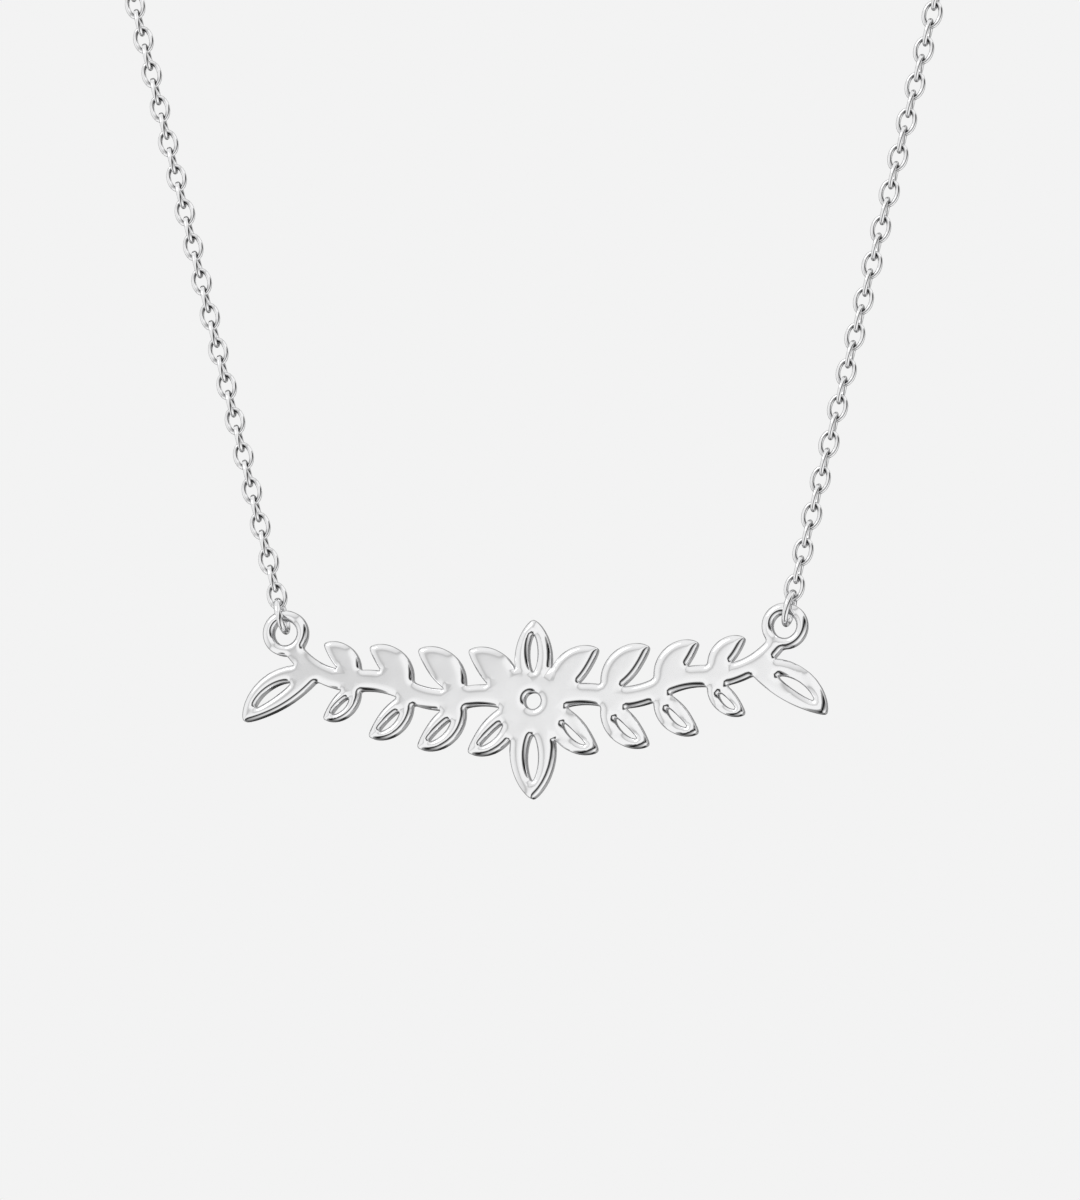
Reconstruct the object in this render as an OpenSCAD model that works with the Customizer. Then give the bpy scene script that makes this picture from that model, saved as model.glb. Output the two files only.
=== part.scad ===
/* [Plate] */
// Distance between the middles of the plate's two ring eyes
eye_span = 33.2; // [28:0.1:40]
// How far the plate reaches below its ring eyes
plate_drop = 11.1; // [10:0.1:13]
// Thickness of the plate
plate_t = 1.2; // [0.8:0.05:1.6]
// Width of the large leaves at their middle
leaf_w = 2.9; // [2.5:0.05:3.2]
// Width of the slit that is sawn through a large leaf
slit_w = 0.6; // [0.45:0.05:0.8]
// Width of the stem
stem_w = 1.4; // [1.1:0.05:1.6]
// Diameter of the round heart in the plate's middle
heart_d = 3.7; // [3.5:0.1:4.2]
// Bore of that heart
heart_bore = 1.1; // [0.8:0.05:1.3]
// Bore of a ring eye
eye_bore = 1.6; // [1.4:0.05:2]
// Width of the metal around that bore
eye_rim = 0.7; // [0.6:0.05:0.9]
// Angle by which the plate's left end hangs lower, less than 0 where its right end does
plate_tilt = -0.5; // [-2:0.1:2]

/* [Chain] */
// Diameter of the wire that the links are made of
link_wire = 0.3; // [0.24:0.01:0.34]
// Width of a link over its wire
link_w = 1.36; // [1.3:0.01:1.6]
// Distance from the middle of one link to the next
link_pitch = 1.2; // [1.1:0.01:1.4]
// Links in the left side, which has one more than the right
left_links = 169; // [141:2:189]
// Links of each side that are made one by one, from the plate up
front_links = 40; // [20:1:44]
// Angle between each side of the chain and the vertical
side_lean = 13.9; // [10:0.1:18]

/* [Shoulder] */
// Height above the ring eyes at which the chain turns over the shoulder
shoulder_h = 60; // [58:1:70]
// Radius of that turn
shoulder_r = 30; // [20:1:40]
// Angle of that turn
shoulder_turn = 75; // [60:1:85]

/* [Jump rings and clasp] */
// Diameter of the wire of the jump rings
jump_wire = 0.42; // [0.36:0.01:0.5]
// Outside diameter of the clasp's ring
clasp_d = 5.6; // [5:0.1:7]
// Thickness of the clasp's ring
clasp_wire = 1; // [0.9:0.02:1.2]
// Outside diameter of the clasp's eye
clasp_eye_d = 2.3; // [2.1:0.05:2.6]
// Thickness of the clasp's eye
clasp_eye_wire = 0.46; // [0.4:0.02:0.5]
// Length of the thumb knob on the clasp's ring
knob_l = 1.3; // [1:0.1:1.6]
// Clearance between pieces that hook into each other
play = 0.11; // [0.1:0.01:0.14]

/* [Hidden] */
$fn = 48;

curve_steps = 16;

// Ring eyes, as they lie once the plate has tilted
eye_r = eye_bore / 2;
eye_out_r = eye_r + eye_rim;
eye_x = eye_span / 2 * cos(plate_tilt);
eye_z = eye_span / 2 * sin(plate_tilt);

// A link's length lets its neighbour's wire lie inside it with some play
link_l = link_pitch + 2 * link_wire + play;
link_bend_r = (link_w - link_wire) / 2;
link_straight = link_l - link_w;

// A jump ring is just wide enough for the eye's rim and a link, or for the clasp and a link
rim_and_link = eye_rim + link_wire + 2 * play;
eye_jump_r = (pow(rim_and_link, 2) - pow(play, 2) + pow(plate_t / 2, 2)) / (2 * (rim_and_link - play));
clasp_jump_r = (clasp_wire + link_wire + 3 * play) / 2;
jump_r = max(eye_jump_r, clasp_jump_r);

// Share of the eye's wire that is sunk into the clasp's ring, where they are soldered
eye_sunk = 0.8;

// Distances along the chain, from one hooked piece to the next
eye_to_jump = eye_r + sqrt(pow(jump_r - play, 2) - pow(plate_t / 2, 2));
jump_to_link = jump_r - play + link_l / 2 - link_wire;
jump_to_clasp = jump_r - play + clasp_d / 2 - clasp_wire;
clasp_to_eye = clasp_d / 2 + clasp_eye_d / 2 - eye_sunk * clasp_eye_wire;
eye_to_link = clasp_eye_d / 2 - clasp_eye_wire - play + link_l / 2 - link_wire;

// Length of the whole loop, from ring eye to ring eye
right_links = left_links - 1;
first_link = eye_to_jump + jump_to_link;
left_run = first_link + (left_links - 1) * link_pitch;
right_run = first_link + (right_links - 1) * link_pitch;
clasp_run = jump_to_link + jump_to_clasp + clasp_to_eye + eye_to_link;
half_loop = (left_run + right_run + clasp_run) / 2;
lean_shift = eye_z / cos(side_lean);
plate_x = eye_z * tan(side_lean);

// Laid flat, the loop is a V whose sides run into a round back
back_r = (half_loop + eye_x / sin(side_lean))
    / (1 / tan(side_lean) + (90 + side_lean) * PI / 180);
side_run = (back_r * cos(side_lean) - eye_x) / sin(side_lean);
back_mid = side_run * cos(side_lean) + back_r * sin(side_lean);

// Turn around the back at a distance s along the chain, in degrees from the side's start
function back_angle(s) = (s - side_run) / back_r * 180 / PI - side_lean;
function flat_place(s) = s < side_run
    ? [eye_x + s * sin(side_lean), s * cos(side_lean)]
    : back_r * [cos(back_angle(s)), sin(back_angle(s))] + [0, back_mid];
function flat_heading(s) = s < side_run
    ? [sin(side_lean), cos(side_lean)]
    : [-sin(back_angle(s)), cos(back_angle(s))];

// The flat loop is then bent over the shoulder without being stretched
function turn_at(u) = min(max((u - shoulder_h) / shoulder_r * 180 / PI, 0), shoulder_turn);
function behind(u) = shoulder_r * (1 - cos(turn_at(u))) + past_turn(u) * sin(shoulder_turn);
function above(u) = min(u, shoulder_h) + shoulder_r * sin(turn_at(u))
    + past_turn(u) * cos(shoulder_turn);
function past_turn(u) = max(u - shoulder_h - shoulder_r * shoulder_turn * PI / 180, 0);
nape_u = back_mid + back_r;
plate_y = -behind(nape_u);
plate_z = -above(nape_u);

// Place and axes on the loop: side is -1 on the left and 1 on the right
function place(side, s) = let (flat = flat_place(s))
    [side * flat[0], plate_y + behind(flat[1]), plate_z + above(flat[1])];
function heading(side, s) = let (turn = turn_at(flat_place(s)[1]), way = flat_heading(s))
    [side * way[0], way[1] * sin(turn), way[1] * cos(turn)];
function outward(s) = let (turn = turn_at(flat_place(s)[1])) [0, -cos(turn), sin(turn)];
function unit(v) = v / norm(v);

// Puts its children at a place, with x along the chain and z out of the wearer
module stand_at(where, along, out) {
    across = cross(out, along);
    multmatrix([
        [along[0], across[0], out[0], where[0]],
        [along[1], across[1], out[1], where[1]],
        [along[2], across[2], out[2], where[2]]
    ])
        children();
}
module on_chain(side, s) {
    from_eye = s + side * lean_shift;
    stand_at(place(side, from_eye), heading(side, from_eye), outward(from_eye))
        children();
}

// Stems and leaves of the plate run from one point to another: x is a share of half
// the eye span, z of the drop and bow of the piece's own length
from_x = 0;
from_z = 1;
to_x = 2;
to_z = 3;
bow = 4;

// The plate is alike on both sides of its heart, so its tables hold the right side. The
// stem rises from the heart to the ring eye, and a pair of leaves grows from each joint
joints_x = [0.08, 0.29, 0.50, 0.71];
last_joint = len(joints_x) - 1;
heart_z = -0.42;
stem_rise = 0.26;
stem_wave = 0.08;
function stem_z(x) = heart_z + stem_rise * pow(x, 2);
function turned_over(i) = i == from_x || i == to_x || i == bow ? -1 : 1;
function mirrored(row) = [for (i = [0:len(row) - 1]) turned_over(i) * row[i]];
function both_sides(rows) = [for (row = rows) each [row, mirrored(row)]];

// The stem ends in the middle of the ring eye's rim, at this angle below its left
stem_end_angle = 65;
stem_end_x = 1 - (eye_r + eye_rim / 2) * cos(stem_end_angle) / (eye_span / 2);
stem_end_z = -(eye_r + eye_rim / 2) * sin(stem_end_angle) / plate_drop;

// The widths at a stem's two ends are shares of stem_w
start_width = 5;
end_width = 6;
middle_stem = [-joints_x[0], stem_z(joints_x[0]), joints_x[0], stem_z(joints_x[0]), 0, 1.00, 1.00];
side_stems = [
    for (i = [1:last_joint]) let (x = joints_x[i - 1], next_x = joints_x[i], wave = i % 2 == 1 ? 1 : -1)
        [x, stem_z(x), next_x, stem_z(next_x), wave * stem_wave, 1.00, 1.00],
    [joints_x[last_joint], stem_z(joints_x[last_joint]), stem_end_x, stem_end_z, -0.12, 1.00, 0.80]
];
stems = concat([middle_stem], both_sides(side_stems));

// A leaf's width is a share of leaf_w, and its slit's width a share of slit_w. The slit
// lies between two shares of the leaf's length. Of a pair, only the lower leaf has one
leaf_width = 5;
leaf_slit = 6;
slit_from = 0.34;
slit_to = 0.82;
pair_sizes = [1.00, 0.96, 0.88, 0.74];
pair_x = 0.18;
pair_z = 0.30;
pair_bow = 0.12;
pair_width = 0.74;
pair_slit = 0.70;
middle_leaves = [
    [0, heart_z, 0, 0.06, 0, 0.85, 1.00],
    [0, heart_z, 0, -1.00, 0, 1.05, 1.30]
];
side_leaves = [
    for (i = [0:last_joint], up = [-1, 1])
        let (x = joints_x[i], z = stem_z(x), size = pair_sizes[i], slit = up < 0 ? pair_slit : 0)
            [x, z, x + size * pair_x, z + up * size * pair_z, up * pair_bow, size * pair_width, slit],
    [0.85, -0.24, 1.165, -0.52, 0.10, 0.85, 1.00]
];
leaves = concat(middle_leaves, both_sides(side_leaves));

function plate_point(x, z) = [x * eye_span / 2, z * plate_drop];
function row_start(row) = plate_point(row[from_x], row[from_z]);
function row_end(row) = plate_point(row[to_x], row[to_z]);
// A row's middle line at a share t of its length, and the line's normal there
function middle(row, t) = let (way = row_end(row) - row_start(row))
    row_start(row) + t * way + 4 * row[bow] * t * (1 - t) * [-way[1], way[0]];
function normal(row, t) = let (way = row_end(row) - row_start(row))
    unit([-way[1], way[0]] - 4 * row[bow] * (1 - 2 * t) * way);

module slab(thickness) {
    linear_extrude(height = thickness, center = true) children();
}
module disc(centre, r) {
    slab(plate_t) translate(centre) circle(r = r);
}
module bore(centre, r) {
    translate(centre) cylinder(r = r, h = 2 * plate_t, center = true);
}
// A stem's round ends are slightly wider than the stem, so its corners lie inside them
joint_round = 1.04;
module stem(row) {
    start_r = stem_w * row[start_width] / 2;
    end_r = stem_w * row[end_width] / 2;
    share = [for (i = [0:curve_steps]) i / curve_steps];
    edge = [for (t = share) (start_r + (end_r - start_r) * t) * normal(row, t)];
    slab(plate_t) polygon([
        for (i = [0:curve_steps]) middle(row, share[i]) + edge[i],
        for (i = [curve_steps:-1:0]) middle(row, share[i]) - edge[i]
    ]);
    disc(row_start(row), joint_round * start_r);
    disc(row_end(row), joint_round * end_r);
}

// A blade runs along part of a row's middle line. It is widest at its middle and
// narrows to a point at both ends
blade_taper = 1.5;
function blade_edge(turn) = sign(sin(turn)) * pow(abs(sin(turn)), blade_taper);
module blade(row, width, start_t, end_t) {
    polygon([
        for (i = [0:2 * curve_steps - 1]) let (
            turn = i * 180 / curve_steps,
            t = start_t + (end_t - start_t) * (1 - cos(turn)) / 2
        )
            middle(row, t) + width / 2 * blade_edge(turn) * normal(row, t)
    ]);
}

module plate_body() {
    for (row = stems) stem(row);
    for (row = leaves) slab(plate_t) blade(row, leaf_w * row[leaf_width], 0, 1);
    disc(plate_point(0, heart_z), heart_d / 2);
    for (side = [-1, 1]) disc([side * eye_span / 2, 0], eye_out_r);
}
module plate_cuts() {
    for (row = leaves)
        if (row[leaf_slit] > 0)
            slab(2 * plate_t) blade(row, slit_w * row[leaf_slit], slit_from, slit_to);
    bore(plate_point(0, heart_z), heart_bore / 2);
    for (side = [-1, 1]) bore([side * eye_span / 2, 0], eye_r);
}
module nameplate() {
    color("silver")
        translate([plate_x, plate_y, plate_z])
        rotate([90, -plate_tilt, 0])
        difference() {
            plate_body();
            plate_cuts();
        }
}

module round_ring(middle_r, wire) {
    rotate_extrude() translate([middle_r, 0]) circle(d = wire);
}
module jump_ring() {
    color("silver") round_ring(jump_r + jump_wire / 2, jump_wire);
}
module jump_ring_left() {
    on_chain(-1, eye_to_jump) rotate([90, 0, 0]) jump_ring();
}
module jump_ring_right() {
    on_chain(1, eye_to_jump) rotate([90, 0, 0]) jump_ring();
}
module jump_ring_back() {
    on_chain(1, right_run + jump_to_link) jump_ring();
}

// An oval link: two half rings joined by two straight wires
module link() {
    for (end = [-1, 1])
        translate([end * link_straight / 2, 0, 0])
        rotate([0, 0, -90 * end])
        rotate_extrude(angle = 180)
        translate([link_bend_r, 0])
        circle(d = link_wire);
    for (side = [-1, 1])
        translate([0, side * link_bend_r, 0])
        rotate([0, 90, 0])
        cylinder(d = link_wire, h = link_straight, center = true);
}
module front_chain(side) {
    color("silver")
        for (k = [0:front_links - 1])
            on_chain(side, first_link + k * link_pitch)
            rotate([90 * (k % 2), 0, 0])
            link();
}
module chain_left_front() {
    front_chain(-1);
}
module chain_right_front() {
    front_chain(1);
}

// The strand is as thick as the links that it stands for. It runs from the last link
// made one by one to what the last link hooks into
strand_d = link_w;
strand_sides = 8;
strand_rings = 40;
strand_gap = 0.2;
strand_from = first_link + (front_links - 1) * link_pitch + link_l / 2 + strand_gap;
end_link_inside = link_l / 2 - link_wire - play - strand_gap;
left_strand_to = left_run + end_link_inside - clasp_eye_wire;
right_strand_to = right_run + end_link_inside - jump_wire;

function strand_ring(side, s) = let (
    along = heading(side, s),
    out = outward(s),
    across = cross(out, along)
) [
    for (i = [0:strand_sides - 1]) let (a = 360 * i / strand_sides)
        place(side, s) + strand_d / 2 * (cos(a) * across + sin(a) * out)
];
module strand(side, to_s) {
    n = strand_sides;
    last = strand_rings - 1;
    points = [
        for (k = [0:last])
            each strand_ring(side, strand_from + (to_s - strand_from) * k / last + side * lean_shift)
    ];
    walls = [
        for (k = [0:last - 1], i = [0:n - 1]) let (j = (i + 1) % n)
            each [[k * n + i, k * n + n + i, k * n + j], [k * n + j, k * n + n + i, k * n + n + j]]
    ];
    ends = [[for (i = [0:n - 1]) i], [for (i = [n - 1:-1:0]) last * n + i]];
    color("silver") polyhedron(points = points, faces = concat(walls, ends));
}
module chain_left_back() {
    strand(-1, left_strand_to);
}
module chain_right_back() {
    strand(1, right_strand_to);
}

// The clasp stands on the chord between the two points where it is hooked
knob_angle = -60;
knob_d = 0.8 * clasp_wire;
clasp_middle_r = (clasp_d - clasp_wire) / 2;
clasp_eye_middle_r = (clasp_eye_d - clasp_eye_wire) / 2;
clasp_l = clasp_middle_r + clasp_to_eye + clasp_eye_middle_r;
hook_right = place(1, right_run + jump_to_link + jump_to_clasp - clasp_middle_r + lean_shift);
hook_left = place(-1, left_run + eye_to_link - clasp_eye_middle_r - lean_shift);
module clasp() {
    color("silver")
        stand_at((hook_right + hook_left) / 2, unit(hook_left - hook_right), outward(half_loop))
        translate([clasp_middle_r - clasp_l / 2, 0, 0]) {
            rotate([90, 0, 0]) round_ring(clasp_middle_r, clasp_wire);
            translate([clasp_to_eye, 0, 0])
                rotate([90, 0, 0])
                round_ring(clasp_eye_middle_r, clasp_eye_wire);
            rotate([0, knob_angle, 0])
                translate([0, 0, clasp_middle_r])
                cylinder(d = knob_d, h = clasp_wire / 2 + knob_l);
        }
}

nameplate();
jump_ring_left();
jump_ring_right();
jump_ring_back();
chain_left_front();
chain_right_front();
chain_left_back();
chain_right_back();
clasp();
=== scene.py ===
import math

import bmesh
import bpy
import numpy as np
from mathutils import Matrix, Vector
from mathutils.geometry import delaunay_2d_cdt


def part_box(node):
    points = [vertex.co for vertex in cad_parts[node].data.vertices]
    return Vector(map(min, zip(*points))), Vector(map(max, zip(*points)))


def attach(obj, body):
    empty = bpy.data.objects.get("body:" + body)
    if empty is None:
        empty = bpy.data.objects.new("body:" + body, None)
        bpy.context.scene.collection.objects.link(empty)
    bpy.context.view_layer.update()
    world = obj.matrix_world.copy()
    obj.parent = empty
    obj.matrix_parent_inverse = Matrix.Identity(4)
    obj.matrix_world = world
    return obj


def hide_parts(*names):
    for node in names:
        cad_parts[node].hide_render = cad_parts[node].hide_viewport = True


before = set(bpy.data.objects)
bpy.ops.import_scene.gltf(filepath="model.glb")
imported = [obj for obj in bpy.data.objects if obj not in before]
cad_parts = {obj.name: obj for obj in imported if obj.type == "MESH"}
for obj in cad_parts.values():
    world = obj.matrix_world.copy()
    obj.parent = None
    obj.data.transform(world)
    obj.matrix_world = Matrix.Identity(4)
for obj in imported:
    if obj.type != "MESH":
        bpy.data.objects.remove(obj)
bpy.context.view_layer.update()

# The plate is a pair of leafy branches sawn out of sterling silver sheet, with a ring eye
# at each end. Its faces are polished to a mirror and its rims are rounded by hand. It is
# made anew from the solid plate's outline, because only so can its rims be rounded.
mm = 0.001
rim_width = 0.3
rim_widening = 0.6  # what the rim gains towards the plate's right end, as a share
rim_height = 0.27
rim_rows = 5
crown_reach = 1.6  # how far in from the outline a face still rises, in widths of the rim
crown_height = 0.04
outline_step = 0.11
fewest_points = 16
smoothings = 2
grid_step = 0.28
grid_clearance = 0.3  # from the last row along the outline, in widths of the rim
rim_shares = [1 - math.cos(math.radians(90 * row / rim_rows)) for row in range(1, rim_rows + 1)]
rim_shares += [1.2, 1.4, crown_reach]
plate_low, plate_high = [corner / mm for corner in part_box("nameplate")]
plate_mid_y = (plate_low.y + plate_high.y) / 2
plate_t = plate_high.y - plate_low.y
wall_half = plate_t / 2 - rim_height - crown_height


def evenly(line):
    """Spaces a closed line's points evenly and takes the sharpness off its corners."""
    closed = np.vstack([line, line[:1]])
    steps = np.linalg.norm(np.diff(closed, axis=0), axis=1)
    run = np.concatenate([[0], np.cumsum(steps)])
    count = max(fewest_points, round(run[-1] / outline_step))
    where = np.arange(count) * run[-1] / count
    points = np.column_stack([np.interp(where, run, closed[:, axis]) for axis in (0, 1)])
    for _ in range(smoothings):
        sides = np.roll(points, 1, axis=0) + np.roll(points, -1, axis=0)
        points = points / 2 + sides / 4
    return points


def plate_outline(node):
    """The closed lines round the plate's front face, each with the metal on its left. They
    start at their leftmost points and run from left to right, the same way in every run."""
    same_corner = 0.001 * mm
    faces_front = -0.9
    solid = bmesh.new()
    solid.from_mesh(node.data)
    bmesh.ops.remove_doubles(solid, verts=solid.verts, dist=same_corner)
    solid.normal_update()
    front = {face for face in solid.faces if face.normal.y < faces_front}
    following = {}
    for face in front:
        for corner in face.loops:
            if sum(side in front for side in corner.edge.link_faces) == 1:
                following[corner.vert] = corner.link_loop_next.vert
    lines = []
    while following:
        start, vert = following.popitem()
        line = [start.co.xz / mm]
        while vert is not start:
            line.append(vert.co.xz / mm)
            vert = following.pop(vert)
        line = np.array(line)
        leftmost = np.lexsort((line[:, 1], line[:, 0]))[0]
        lines.append(evenly(np.roll(line, -leftmost, axis=0)))
    solid.free()
    return sorted(lines, key=lambda line: line[0].tolist())


outline = plate_outline(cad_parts["nameplate"])
side_from = np.vstack(outline)
side_to = np.vstack([np.roll(line, -1, axis=0) for line in outline])


def in_parts(points, measure):
    """Measures many points in small groups, which keeps the tables small."""
    group_size = 400
    groups = np.array_split(points, len(points) // group_size + 1)
    return np.concatenate([measure(some) for some in groups])


def rim_at(points):
    """The rim's width, which grows towards the plate's right end."""
    across = (points[:, 0] - plate_low.x) / (plate_high.x - plate_low.x)
    return rim_width * (1 + rim_widening * across)


def from_outline(points):
    """How many widths of the rim each point is from the plate's outline."""
    way = side_to - side_from
    length = (way**2).sum(axis=1)

    def measure(some):
        gap = some[:, None] - side_from
        share = np.clip((gap * way).sum(axis=2) / length, 0, 1)
        return np.linalg.norm(gap - share[..., None] * way, axis=2).min(axis=1)

    return in_parts(points, measure) / rim_at(points)


def in_metal(points):
    """Whether each point lies inside the outline and outside its holes."""
    rise = side_to[:, 1] - side_from[:, 1]
    rise[rise == 0] = 1

    def measure(some):
        x, z = some[:, :1], some[:, 1:]
        crosses = (side_from[:, 1] > z) != (side_to[:, 1] > z)
        at = side_from[:, 0] + (z - side_from[:, 1]) / rise * (side_to[:, 0] - side_from[:, 0])
        return (crosses & (at > x)).sum(axis=1) % 2 == 1

    return in_parts(points, measure)


def rim_points():
    """Rows of points along the outline, over the part of the face that is rounded. A point
    stays only where no other side of the outline is nearer than its own."""
    own_side = 0.96
    rows = []
    for line in outline:
        way = np.roll(line, -1, axis=0) - np.roll(line, 1, axis=0)
        way /= np.linalg.norm(way, axis=1)[:, None]
        inwards = np.column_stack([-way[:, 1], way[:, 0]]) * rim_at(line)[:, None]
        for share in rim_shares:
            row = line + share * inwards
            rows.append(row[from_outline(row) > own_side * share])
    rows = np.vstack(rows)
    return rows[in_metal(rows)]


def face_points():
    """A grid of points over the rest of the face."""
    low_x, low_z = side_from.min(axis=0)
    high_x, high_z = side_from.max(axis=0)
    x, z = np.meshgrid(np.arange(low_x, high_x, grid_step), np.arange(low_z, high_z, grid_step))
    x[1::2] += grid_step / 2
    grid = np.column_stack([x.ravel(), z.ravel()])
    grid = grid[in_metal(grid)]
    return grid[from_outline(grid) > crown_reach + grid_clearance]


def without_creases(points, gap):
    """The same distances in rim widths, with the ridges between two sides rounded off. All
    sides count, near ones most: a long straight one alone sums to straight_side / gap**5."""
    middle = (side_from + side_to) / 2
    length = np.linalg.norm(side_to - side_from, axis=1)
    straight_side = 3 * math.pi / 8

    def measure(some):
        apart = ((some[:, None] - middle) ** 2).sum(axis=2)
        apart = np.maximum(apart, outline_step**2 / 4)
        return ((length / apart**3).sum(axis=1) / straight_side) ** (-1 / 5)

    rounded = in_parts(points, measure) / rim_at(points)
    inner = np.clip(gap * rim_at(points) / outline_step - 1, 0, 1)
    return gap + inner * (rounded - gap)


def plate_mesh():
    """Both faces of the plate with their rounded rims, and the sawn wall between them."""
    convex_hull = 0
    same_point = 1e-7
    edges = []
    for line in outline:
        first, count = len(edges), len(line)
        edges += [(first + i, first + (i + 1) % count) for i in range(count)]
    points = np.vstack([side_from, rim_points(), face_points()])
    points = [Vector(point) for point in points]
    flat, _, triangles, *_ = delaunay_2d_cdt(points, edges, [], convex_hull, same_point)
    flat = np.array(flat)
    triangles = np.array(triangles)
    triangles = triangles[in_metal(flat[triangles].mean(axis=1))]

    gap = without_creases(flat, from_outline(flat))
    rim = rim_height * np.sqrt(1 - (1 - np.minimum(gap, 1)) ** 2)
    crown = crown_height * (1 - (1 - np.minimum(gap / crown_reach, 1)) ** 2)
    depth = wall_half + rim + crown
    front = np.column_stack([flat[:, 0], plate_mid_y - depth, flat[:, 1]])
    back = np.column_stack([flat[:, 0], plate_mid_y + depth, flat[:, 1]])

    to_back = len(flat)
    faces = triangles.tolist() + (triangles[:, ::-1] + to_back).tolist()
    sides = {(one[i - 1], one[i]) for one in triangles.tolist() for i in range(3)}
    wall_top = [(a, b) for a, b in sorted(sides) if (b, a) not in sides]
    faces += [[a, a + to_back, b + to_back, b] for a, b in wall_top]
    mesh = bpy.data.meshes.new("nameplate_polished")
    mesh.from_pydata(np.vstack([front, back]) * mm, [], faces)
    mesh.shade_smooth()
    return mesh


class Output:
    """One output of a node, which sums can be written with."""

    def __init__(self, tree, socket=None):
        self.tree = tree
        self.socket = socket

    def node(self, kind, settings, inputs, output=0):
        """Adds a node, with its settings made before its sockets are filled."""
        made = self.tree.nodes.new(kind)
        stops = settings.pop("stops", [])
        for name, value in settings.items():
            setattr(made, name, value)
        for place, value in stops:
            stop = made.color_ramp.elements.new(place)
            stop.color = (value, value, value, 1)
        if stops:
            made.color_ramp.elements.remove(made.color_ramp.elements[0])
            made.color_ramp.elements.remove(made.color_ramp.elements[-1])
        for name, value in inputs.items():
            if isinstance(value, Output):
                self.tree.links.new(value.socket, made.inputs[name])
            else:
                made.inputs[name].default_value = value
        if output is not None:
            return Output(self.tree, made.outputs[output])

    def sum(self, operation, first, second=0.0):
        """Adds one step of maths on numbers."""
        return self.node("ShaderNodeMath", {"operation": operation}, {0: first, 1: second})

    def __add__(self, other):
        return self.sum("ADD", self, other)

    def __sub__(self, other):
        return self.sum("SUBTRACT", self, other)

    def __rsub__(self, other):
        return self.sum("SUBTRACT", other, self)

    def __mul__(self, other):
        return self.sum("MULTIPLY", self, other)

    def __truediv__(self, other):
        return self.sum("DIVIDE", self, other)

    def __abs__(self):
        return self.sum("ABSOLUTE", self)

    __radd__ = __add__
    __rmul__ = __mul__

    def limited(self):
        """The same number, kept between 0 and 1."""
        return self.node("ShaderNodeClamp", {}, {"Value": self})

    def blend(self, first, second):
        """A colour between two others, at this share of the way."""
        return self.node("ShaderNodeMix", {"data_type": "RGBA"}, {0: self, 6: first, 7: second}, 2)

    def noise(self, place, scale, detail=2.0):
        """Soft patches, scale to a metre."""
        inputs = {"Vector": place, "Scale": scale, "Detail": detail}
        return self.node("ShaderNodeTexNoise", {}, inputs, "Fac")


def new_silver(name):
    """An empty material, the output that its nodes start from, and its object's place."""
    material = bpy.data.materials.new(name)
    material.use_nodes = True
    material.node_tree.nodes.clear()
    start = Output(material.node_tree)
    return material, start, start.node("ShaderNodeTexCoord", {}, {}, "Object")


def polished(start, colour, roughness, height, lift):
    """Ends a material in bright metal whose surface rises by up to lift."""
    bump = start.node("ShaderNodeBump", {}, {"Distance": lift, "Height": height})
    inputs = {"Base Color": colour, "Metallic": 1.0, "Roughness": roughness, "Normal": bump}
    metal = start.node("ShaderNodeBsdfPrincipled", {}, inputs)
    start.node("ShaderNodeOutputMaterial", {}, {"Surface": metal}, None)


def plate_silver():
    """Mirror polish on the faces and rims, and finer saw marks on the duller wall."""
    mirror = (0.94, 0.94, 0.945, 1)
    sawn = (0.74, 0.74, 0.75, 1)
    wall_fade = 0.06 * mm
    through_plate = (1, 0.08, 1)
    material, start, place = new_silver("plate_silver")
    depth = abs(start.node("ShaderNodeSeparateXYZ", {}, {"Vector": place}, "Y") - plate_mid_y * mm)
    wall = ((wall_half * mm - depth) / wall_fade).limited()
    cloud = start.noise(place, scale=170.0)
    haze = start.noise(place, scale=1400.0, detail=4.0)
    stretch = {0: place, 1: through_plate}
    drawn_out = start.node("ShaderNodeVectorMath", {"operation": "MULTIPLY"}, stretch)
    marks = start.noise(drawn_out, scale=9000.0)
    colour = (wall * 0.7 + haze * 0.15).limited().blend(mirror, sawn)
    roughness = 0.05 + 0.05 * haze + 0.18 * wall
    polished(start, colour, roughness, cloud + 0.05 * wall * marks, lift=0.022 * mm)
    return material


plate = bpy.data.objects.new("nameplate_polished", plate_mesh())
bpy.context.scene.collection.objects.link(plate)
plate.data.materials.append(plate_silver())
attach(plate, "root")
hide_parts("nameplate")

# The chain is cable chain of round silver wire: oval links, each turned by a quarter
# from the one before, hooked into each other and soldered shut. Every link is set on
# the loop's route, which runs up in a V, over the shoulders and round the nape.
link_wire = 0.3
link_width = 1.36
link_pitch = 1.2
link_play = 0.11
link_length = link_pitch + 2 * link_wire + link_play
link_corners = 20
wire_corners = 12
wire_fullness = 1.02  # makes up for the flats between the wire's corners
left_links = 169
right_links = 168
plate_tilt = math.radians(-0.5)
side_lean = math.radians(13.9)
shoulder_h = 60
shoulder_r = 30
shoulder_turn = math.radians(75)
eye_span = 33.2
eye_bore = 1.6
eye_rim = 0.7
clasp_run = 8.706  # along the loop, from the last link of one side to that of the other
rim_and_link = eye_rim + link_wire + 2 * link_play
jump_r = rim_and_link**2 - link_play**2 + (plate_t / 2) ** 2
jump_r /= 2 * (rim_and_link - link_play)
eye_to_jump = eye_bore / 2 + math.sqrt((jump_r - link_play) ** 2 - (plate_t / 2) ** 2)
first_link = eye_to_jump + jump_r - link_play + link_length / 2 - link_wire
half_loop = first_link + (left_links + right_links - 2) / 2 * link_pitch + clasp_run / 2
eye_x = eye_span / 2 * math.cos(plate_tilt)
lean_shift = eye_span / 2 * math.sin(plate_tilt) / math.cos(side_lean)
back_r = half_loop + eye_x / math.sin(side_lean)
back_r /= 1 / math.tan(side_lean) + math.pi / 2 + side_lean
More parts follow.
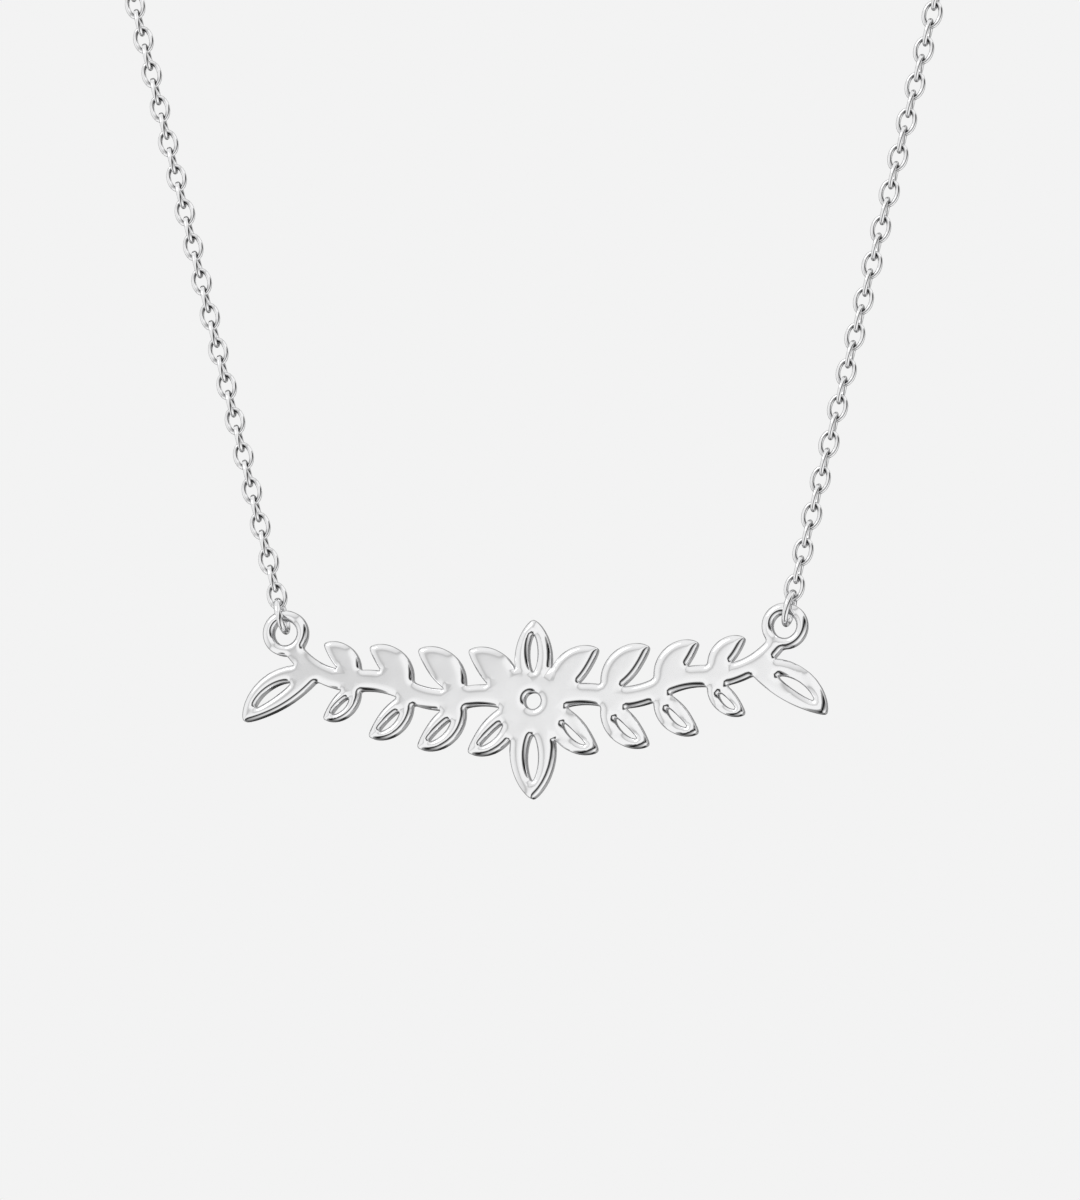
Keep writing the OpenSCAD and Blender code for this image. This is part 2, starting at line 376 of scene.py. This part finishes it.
side_run = (back_r * math.cos(side_lean) - eye_x) / math.sin(side_lean)
back_mid = side_run * math.cos(side_lean) + back_r * math.sin(side_lean)


def over_shoulder(up):
    """For a height on the flat loop, how far the chain has turned over there, how far back
    it lies and how high."""
    turn = np.clip((up - shoulder_h) / shoulder_r, 0, shoulder_turn)
    past = np.maximum(up - shoulder_h - shoulder_r * shoulder_turn, 0)
    behind = shoulder_r * (1 - np.cos(turn)) + past * math.sin(shoulder_turn)
    above = np.minimum(up, shoulder_h) + shoulder_r * np.sin(turn) + past * math.cos(shoulder_turn)
    return turn, behind, above


def on_route(side, run):
    """Places, headings and outward directions at distances along one side of the loop."""
    angle = (run - side_run) / back_r - side_lean
    straight = run < side_run
    x = np.where(straight, eye_x + run * math.sin(side_lean), back_r * np.cos(angle))
    up = np.where(straight, run * math.cos(side_lean), back_mid + back_r * np.sin(angle))
    way_x = np.where(straight, math.sin(side_lean), -np.sin(angle))
    way_up = np.where(straight, math.cos(side_lean), np.cos(angle))
    turn, behind, above = over_shoulder(up)
    _, nape_behind, nape_above = over_shoulder(np.array(back_mid + back_r))
    place = np.column_stack([side * x, behind - nape_behind, above - nape_above])
    along = np.column_stack([side * way_x, way_up * np.sin(turn), way_up * np.cos(turn)])
    outward = np.column_stack([0 * turn, -np.cos(turn), np.sin(turn)])
    return place, along, outward


def chain_silver():
    """Bright drawn wire, with shade painted dark into the crevice where two links meet."""
    bright = (0.97, 0.97, 0.975, 1)
    crevice_shade_and_haze = (0.12, 0.12, 0.125, 1)
    material, start, place = new_silver("chain_silver")
    crevice = start.node("ShaderNodeAttribute", {"attribute_name": "crevice"}, {}, "Fac")
    haze = start.noise(place, scale=1500.0)
    # The dark colour is painted shade in the crevice, and a faint random darkening with the haze.
    colour = (1.2 * crevice + 0.08 * haze).limited().blend(bright, crevice_shade_and_haze)
    roughness = 0.03 + 0.04 * haze + 0.15 * crevice
    polished(start, colour, roughness, haze, lift=0.003 * mm)
    return material


def cable_tree():
    """A tree that sets an oval link on each point of a route. Returns its inputs too."""
    tree = bpy.data.node_groups.new("cable_chain", "GeometryNodeTree")
    sockets = {
        "Route": "NodeSocketGeometry",
        "Wire": "NodeSocketFloat",
        "Link width": "NodeSocketFloat",
        "Link length": "NodeSocketFloat",
        "Turn": "NodeSocketFloat",
        "Twist": "NodeSocketFloat",
        "Seed": "NodeSocketInt",
        "Silver": "NodeSocketMaterial",
    }
    inputs = {
        name: tree.interface.new_socket(name, in_out="INPUT", socket_type=kind).identifier
        for name, kind in sockets.items()
    }
    tree.interface.new_socket("Chain", in_out="OUTPUT", socket_type="NodeSocketGeometry")
    start = Output(tree)
    given = tree.nodes.new("NodeGroupInput")
    wire = Output(tree, given.outputs["Wire"])
    width = Output(tree, given.outputs["Link width"])
    length = Output(tree, given.outputs["Link length"])
    bend = (width - wire) / 2
    straight = (length - width) / 2

    place = start.node("GeometryNodeInputPosition", {}, {})
    x = start.node("ShaderNodeSeparateXYZ", {}, {"Vector": place}, "X")
    y = start.node("ShaderNodeSeparateXYZ", {}, {"Vector": place}, "Y")
    apart = start.node("ShaderNodeCombineXYZ", {}, {"X": x / bend * straight})
    round_link = {"Resolution": link_corners, "Radius": bend}
    ring = start.node("GeometryNodeCurvePrimitiveCircle", {}, round_link)
    oval = start.node("GeometryNodeSetPosition", {}, {"Geometry": ring, "Offset": apart})
    round_wire = {"Resolution": wire_corners, "Radius": wire * (wire_fullness / 2)}
    section = start.node("GeometryNodeCurvePrimitiveCircle", {}, round_wire)
    link = start.node("GeometryNodeCurveToMesh", {}, {"Curve": oval, "Profile Curve": section})
    link = start.node("GeometryNodeSetShadeSmooth", {}, {"Geometry": link})

    # The crevice share is highest on the inner side of each end bend, where the next link meets it;
    # the silver paints shade there.
    past_bend = start.sum("MAXIMUM", abs(x) - straight, 0.0)
    from_bend = start.sum("SQRT", past_bend * past_bend + y * y)
    crevice = (2 * (bend - from_bend) / wire * past_bend / from_bend).limited()
    named = {"Geometry": link, "Name": "crevice", "Value": crevice}
    link = start.node("GeometryNodeStoreNamedAttribute", {"data_type": "FLOAT"}, named)

    vector = {"data_type": "FLOAT_VECTOR"}
    along = start.node("GeometryNodeInputNamedAttribute", vector, {"Name": "along"})
    outward = start.node("GeometryNodeInputNamedAttribute", vector, {"Name": "outward"})
    axes = {"primary_axis": "X", "secondary_axis": "Z"}
    facing = start.node("FunctionNodeAxesToRotation", axes, {0: along, 1: outward})
    twist = Output(tree, given.outputs["Twist"])
    seed = Output(tree, given.outputs["Seed"])
    limits = {2: 0 - twist, 3: twist, "Seed": seed}
    loose = start.node("FunctionNodeRandomValue", {"data_type": "FLOAT"}, limits, 1)
    odd = start.sum("MODULO", start.node("GeometryNodeInputIndex", {}, {}), 2.0)
    angle = odd * Output(tree, given.outputs["Turn"]) + loose
    turned = start.node("FunctionNodeAxisAngleToRotation", {}, {"Axis": (1, 0, 0), "Angle": angle})
    turn = {"Rotation": facing, "Rotate By": turned}
    facing = start.node("FunctionNodeRotateRotation", {"rotation_space": "LOCAL"}, turn)

    route = Output(tree, given.outputs["Route"])
    hooked = {"Points": route, "Instance": link, "Rotation": facing}
    chain = start.node("GeometryNodeInstanceOnPoints", {}, hooked)
    chain = start.node("GeometryNodeRealizeInstances", {}, {"Geometry": chain})
    silver = {"Geometry": chain, "Material": Output(tree, given.outputs["Silver"])}
    chain = start.node("GeometryNodeSetMaterial", {}, silver)
    start.node("NodeGroupOutput", {}, {"Chain": chain}, None)
    return tree, inputs


link_tree, link_inputs = cable_tree()
wire_silver = chain_silver()
link_sizes = {
    "Wire": link_wire * mm,
    "Link width": link_width * mm,
    "Link length": link_length * mm,
    "Turn": math.pi / 2,
    "Twist": math.radians(3),
    "Seed": 4,
    "Silver": wire_silver,
}


def chain_side(name, side, links):
    """One side of the chain, from the plate's jump ring to the clasp."""
    run = first_link + link_pitch * np.arange(links) + side * lean_shift
    place, along, outward = on_route(side, run)
    route = bpy.data.meshes.new(name)
    route.from_pydata(place * mm, [], [])
    for attribute, directions in (("along", along), ("outward", outward)):
        stored = route.attributes.new(attribute, "FLOAT_VECTOR", "POINT")
        stored.data.foreach_set("vector", directions.ravel())
    chain = bpy.data.objects.new(name, route)
    bpy.context.scene.collection.objects.link(chain)
    links_on = chain.modifiers.new("links", "NODES")
    links_on.node_group = link_tree
    for size, value in link_sizes.items():
        links_on[link_inputs[size]] = value
    evaluated = chain.evaluated_get(bpy.context.evaluated_depsgraph_get())
    made = bpy.data.meshes.new_from_object(evaluated)
    chain.modifiers.remove(links_on)
    chain.data = made
    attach(chain, "root")
    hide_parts(name + "_front", name + "_back")


chain_side("chain_left", -1, left_links)
chain_side("chain_right", 1, right_links)

# Three jump rings of thicker round wire are closed and soldered: one through each of
# the plate's eyes, and one that holds the clasp. The solid rings stay as they are.


def jump_silver():
    """The chain's bright wire, drawn slightly thicker and buffed by hand."""
    bright = (0.93, 0.93, 0.935, 1)
    buffed = (0.74, 0.74, 0.75, 1)
    material, start, place = new_silver("jump_silver")
    haze = start.noise(place, scale=900.0)
    colour = (0.2 * haze).blend(bright, buffed)
    polished(start, colour, 0.07 + 0.07 * haze, haze, lift=0.006 * mm)
    return material


ring_silver = jump_silver()
for name in ("jump_ring_left", "jump_ring_right", "jump_ring_back"):
    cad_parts[name].material_slots[0].material = ring_silver

# The clasp is a closed ring of thick round wire with a thumb knob, and a small eye is
# soldered to it. It is cast in silver and tumbled bright, and stays as it is.


def cast_silver():
    """Tumbled cast silver: bright, but a little softer than the drawn wire."""
    bright = (0.93, 0.93, 0.935, 1)
    pitted = (0.66, 0.66, 0.67, 1)
    material, start, place = new_silver("clasp_silver")
    pits = start.noise(place, scale=700.0, detail=4.0)
    colour = (0.35 * pits).blend(bright, pitted)
    polished(start, colour, 0.09 + 0.1 * pits, pits, lift=0.012 * mm)
    return material


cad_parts["clasp"].material_slots[0].material = cast_silver()

# The necklace hangs in the air over a plain pale floor. The polished silver mirrors a
# soft studio, which is pale in front, to the left and above, dark to the right and below,
# and grey behind. The camera stands to the right of the plate and a little below it.
camera_turn = math.radians(12)
camera_rise = math.radians(-6.68)
camera_reach = 600
camera_lens = 276.56
aim_right = 0.347
aim_above_eyes = 1.95
floor_z = -290
floor_half = 8000
eye_places, _, _ = on_route(1, np.zeros(1))
eyes_y, eyes_z = eye_places[0, 1:].tolist()


def studio():
    """The light from all round. The camera itself sees plain pale grey. Each list holds
    places from 0 to 1 across the studio, and the grey there."""
    seen_grey = (0.896, 0.896, 0.896, 1)
    # In front, from the upper left to the lower right: a pale wall, a thin strip that
    # outlines the rims, a white wall, and the dark with a black band under the rims.
    front_greys = [
        (0.0, 0.9), (0.19, 0.92), (0.32, 0.76), (0.353, 0.5), (0.378, 0.89), (0.43, 0.96), (0.6, 0.96),
        (0.62, 0.34), (0.68, 0.2), (0.7, 0.01), (0.77, 0.01), (0.81, 0.15), (1.0, 0.06),
    ]
    # Behind, from the lower left to the upper right: dark grey, a thin black band, plain
    # grey, and black.
    back_greys = [
        (0.0, 0.3), (0.3, 0.2), (0.36, 0.02), (0.42, 0.02), (0.445, 0.35), (0.5, 0.38), (0.58, 0.5),
        (0.63, 0.5), (0.67, 0.02), (1.0, 0.01),
    ]
    # What share of the back is mixed in, from straight in front to straight behind.
    back_shares = [(0.0, 0.0), (0.55, 0.0), (0.8, 1.0), (1.0, 1.0)]
    world = bpy.data.worlds.new("studio")
    world.use_nodes = True
    world.node_tree.nodes.clear()
    start = Output(world.node_tree)
    way = start.node("ShaderNodeTexCoord", {}, {}, "Generated")
    right = start.node("ShaderNodeSeparateXYZ", {}, {"Vector": way}, "X")
    forward = start.node("ShaderNodeSeparateXYZ", {}, {"Vector": way}, "Y")
    up = start.node("ShaderNodeSeparateXYZ", {}, {"Vector": way}, "Z")
    from_upper_left = 0.4 * right - 0.38 * up + 0.5
    front = start.node("ShaderNodeValToRGB", {"stops": front_greys}, {"Fac": from_upper_left})
    from_lower_left = 0.48 * right + 0.27 * up + 0.5
    back = start.node("ShaderNodeValToRGB", {"stops": back_greys}, {"Fac": from_lower_left})
    from_front = forward * 0.5 + 0.5
    behind = start.node("ShaderNodeValToRGB", {"stops": back_shares}, {"Fac": from_front})
    grey = behind.blend(front, back)
    light = start.node("ShaderNodeBackground", {}, {"Color": grey, "Strength": 1.0})
    pale = start.node("ShaderNodeBackground", {}, {"Color": seen_grey, "Strength": 1.0})
    seen = start.node("ShaderNodeLightPath", {}, {}, "Is Camera Ray")
    both = start.node("ShaderNodeMixShader", {}, {0: seen, 1: light, 2: pale})
    start.node("ShaderNodeOutputWorld", {}, {"Surface": both}, None)
    return world


def soft_light(name, place, size, power):
    """A square lamp that is aimed at the plate."""
    lamp = bpy.data.lights.new(name, "AREA")
    lamp.size = size * mm
    lamp.energy = power
    light = bpy.data.objects.new(name, lamp)
    light.location = Vector(place) * mm
    aim = Vector((0, eyes_y, eyes_z)) * mm - light.location
    light.rotation_euler = aim.to_track_quat("-Z", "Y").to_euler()
    light.visible_camera = False
    bpy.context.scene.collection.objects.link(light)


bpy.context.scene.world = studio()
soft_light("key_light", place=(-450, -650, 400), size=350, power=0.7)

floor_mesh = bpy.data.meshes.new("floor")
ways = [(-1, -1), (1, -1), (1, 1), (-1, 1)]
corners = [(x * floor_half * mm, y * floor_half * mm, floor_z * mm) for x, y in ways]
floor_mesh.from_pydata(corners, [], [(0, 1, 2, 3)])
floor = bpy.data.objects.new("floor", floor_mesh)
bpy.context.scene.collection.objects.link(floor)
floor_material = bpy.data.materials.new("pale_floor")
floor_material.use_nodes = True
floor_finish = {
    "Base Color": (0.3, 0.3, 0.3, 1),
    "Roughness": 0.9,
    "Emission Color": (0.686, 0.686, 0.686, 1),
    "Emission Strength": 1.0,
}
for socket, value in floor_finish.items():
    floor_material.node_tree.nodes["Principled BSDF"].inputs[socket].default_value = value
floor_mesh.materials.append(floor_material)
floor.visible_glossy = False

lens = bpy.data.cameras.new("camera")
lens.lens = camera_lens
camera = bpy.data.objects.new("camera", lens)
bpy.context.scene.collection.objects.link(camera)
toward = Vector((
    math.sin(camera_turn) * math.cos(camera_rise),
    -math.cos(camera_turn) * math.cos(camera_rise),
    math.sin(camera_rise),
))
aim = Vector((aim_right, eyes_y, eyes_z + aim_above_eyes))
camera.location = (aim + toward * camera_reach) * mm
camera.rotation_euler = (-toward).to_track_quat("-Z", "Y").to_euler()
lens.clip_start = 0.05
lens.clip_end = 30
bpy.context.scene.camera = camera
bpy.context.scene.view_settings.view_transform = "Standard"
